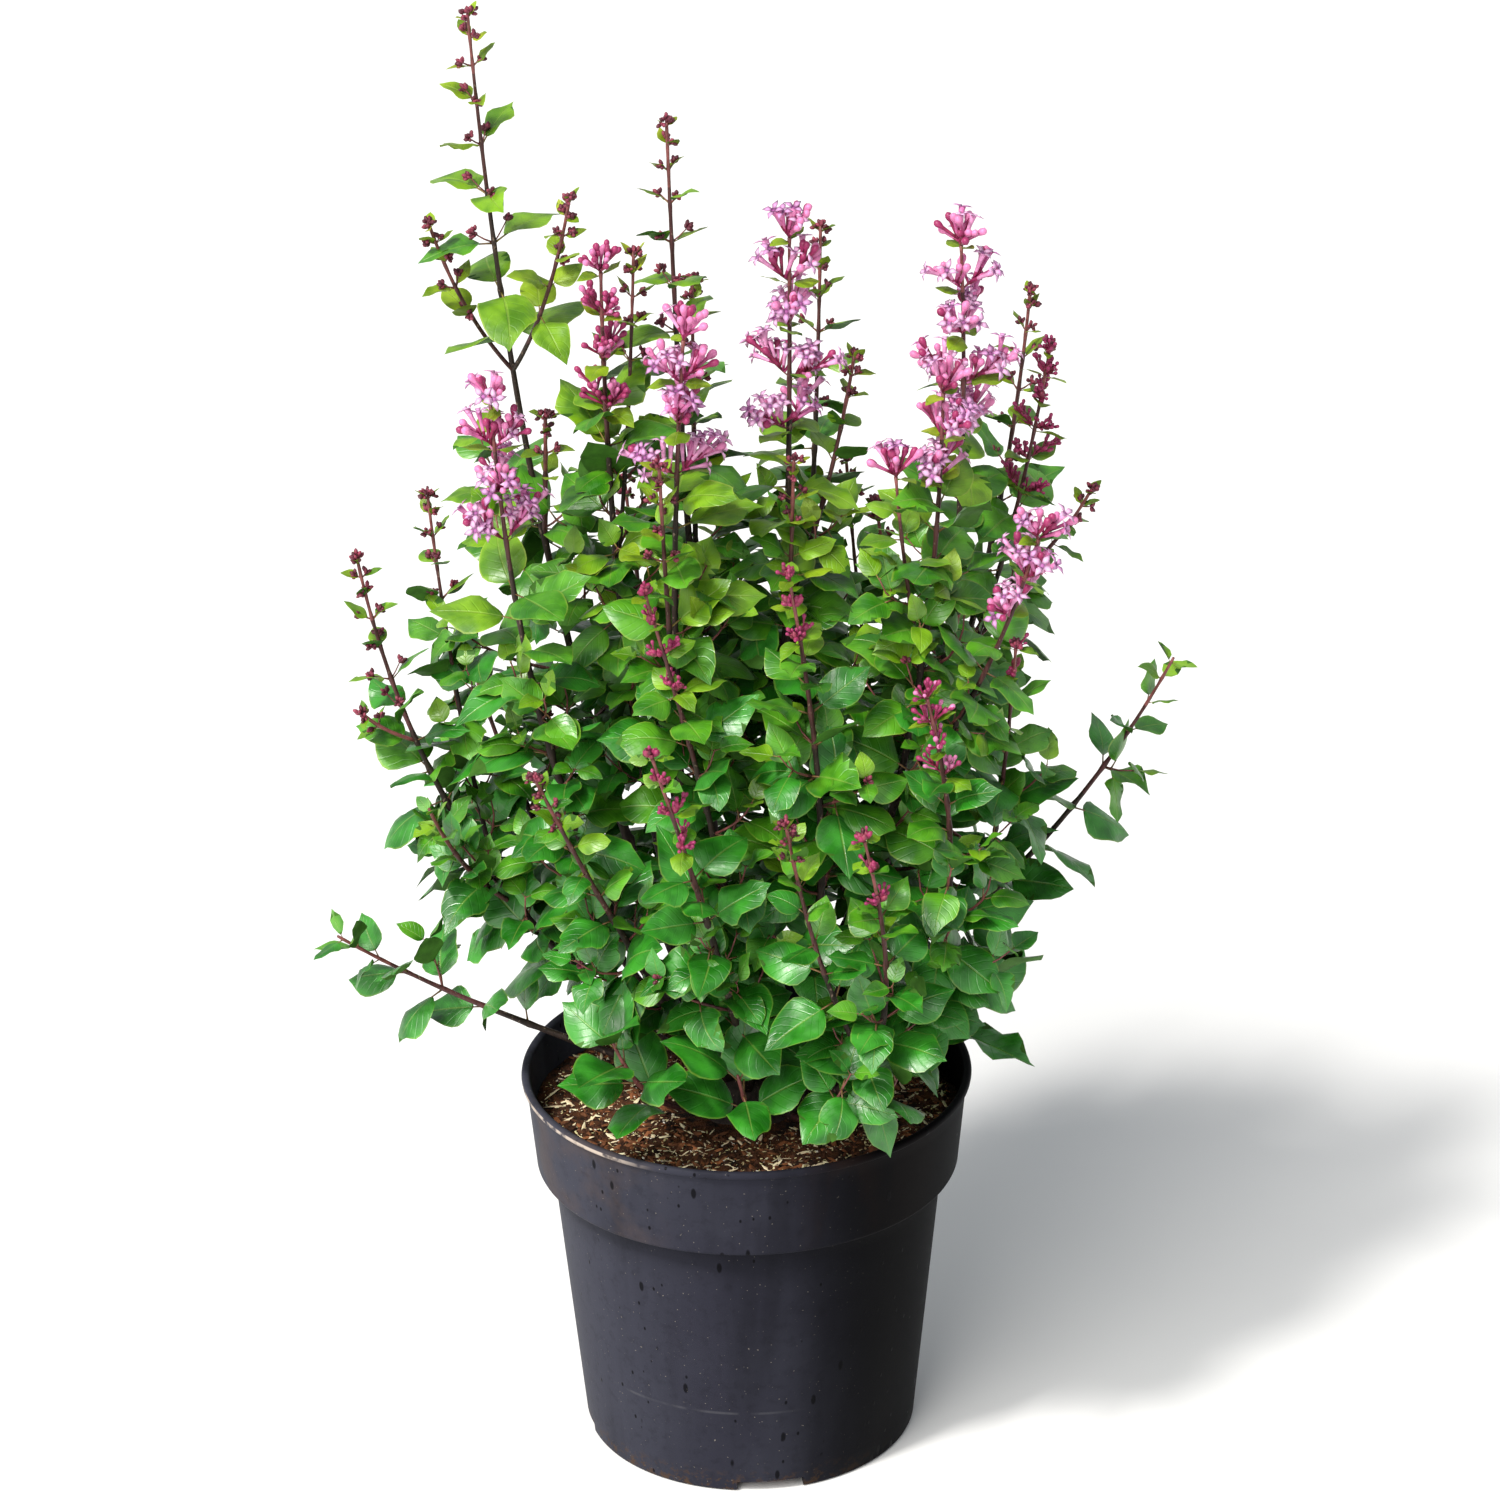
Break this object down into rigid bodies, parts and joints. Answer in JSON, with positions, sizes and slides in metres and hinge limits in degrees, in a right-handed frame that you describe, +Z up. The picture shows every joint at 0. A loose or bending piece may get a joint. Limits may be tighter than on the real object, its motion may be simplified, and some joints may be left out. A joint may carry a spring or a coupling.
{
  "type": "potted lilac bush",
  "caption": "Young dwarf lilac bush with leafy upright stems and spikes of pink flowers and buds, growing in a round tapered nursery pot with a deep collar.",
  "frame": {"origin": "middle of the pot's flat underside", "axes": "+Z up through the pot and the plant, +X to the right and +Y away as seen from the front"},
  "size_m": [0.4534, 0.3532, 0.7942],
  "materials": {
    "pot": "matt black plastic with fine dust and dried drops",
    "soil": "moist brown peat and bark with pale chips",
    "bark": "fine dark bark with pale pores",
    "foliage": "satin green leaves with pink flowers and purple buds"
  },
  "bodies": {
    "root": {"bough_arm_left": "bark", "bough_arm_left_low": "bark", "bough_arm_right": "bark", "bough_back_buds": "bark", "bough_back_left": "bark", "bough_back_middle": "bark", "bough_back_outer_left": "bark", "bough_back_right": "bark", "bough_bloom_left": "bark", "bough_bloom_middle": "bark", "bough_bloom_middle_left": "bark", "bough_bloom_right": "bark", "bough_bloom_right_low": "bark", "bough_front_left": "bark", "bough_front_middle_left": "bark", "bough_front_middle_right": "bark", "bough_front_outer_left": "bark", "bough_front_outer_right": "bark", "bough_front_right": "bark", "bough_low_back": "bark", "bough_low_front": "bark", "bough_low_front_left": "bark", "bough_low_front_right": "bark", "bough_low_right": "bark", "bough_outer_right": "bark", "bough_spike_left": "bark", "bough_tall_left": "bark", "bough_tall_middle": "bark", "mass_arm_left": "foliage", "mass_arm_left_low": "foliage", "mass_arm_right": "foliage", "mass_back_buds": "foliage", "mass_back_left": "foliage", "mass_back_middle": "foliage", "mass_back_outer_left": "foliage", "mass_back_right": "foliage", "mass_bloom_left": "foliage", "mass_bloom_middle": "foliage", "mass_bloom_middle_left": "foliage", "mass_bloom_right": "foliage", "mass_bloom_right_low": "foliage", "mass_front_left": "foliage", "mass_front_middle_left": "foliage", "mass_front_middle_right": "foliage", "mass_front_outer_left": "foliage", "mass_front_outer_right": "foliage", "mass_front_right": "foliage", "mass_low_back": "foliage", "mass_low_front": "foliage", "mass_low_front_left": "foliage", "mass_low_front_right": "foliage", "mass_low_right": "foliage", "mass_outer_right": "foliage", "mass_spike_left": "foliage", "mass_tall_left": "foliage", "mass_tall_middle": "foliage", "pot": "pot", "soil": "soil", "trunk": "bark"}
  },
  "joints": []
}
